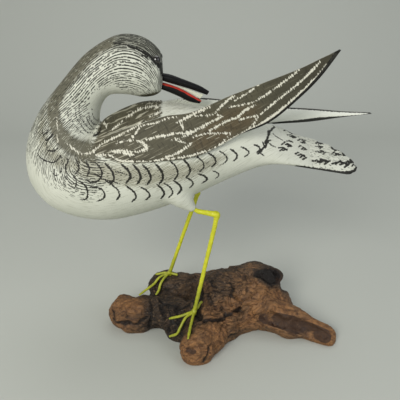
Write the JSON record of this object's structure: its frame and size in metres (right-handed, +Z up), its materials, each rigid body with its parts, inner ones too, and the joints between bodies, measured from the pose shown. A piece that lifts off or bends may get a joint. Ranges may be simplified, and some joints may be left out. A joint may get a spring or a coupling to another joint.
{
  "type": "shorebird decoy",
  "caption": "Carved and painted wading bird that turns its neck back to preen, with raised wing blades and a stepped tail, on yellow metal legs pegged into a knobby piece of driftwood.",
  "frame": {"origin": "on the flat underside of the driftwood, below the middle plane of the bird's body", "axes": "+X from the bird's breast to its tail, along the bird's length; -Y is the bird's left side, which the picture shows; +Z up from the floor"},
  "size_m": [0.227, 0.0957, 0.2123],
  "materials": {
    "painted_wood": "matte hand-painted, white and taupe feathers",
    "bill_paint": "satin black paint",
    "feather_paint": "matte pale greenish white paint",
    "eye_glass": "polished dark glass bead",
    "leg_paint": "thick lumpy greenish yellow paint, satin",
    "driftwood": "weathered, dry, partly polished brown wood"
  },
  "bodies": {
    "root": {"carved_bird": "painted_wood", "upper_mandible": "bill_paint", "lower_mandible": "bill_paint", "preened_feather": "feather_paint", "left_eye": "eye_glass", "right_eye": "eye_glass", "left_leg": "leg_paint", "right_leg": "leg_paint", "driftwood_base": "driftwood"}
  },
  "joints": []
}
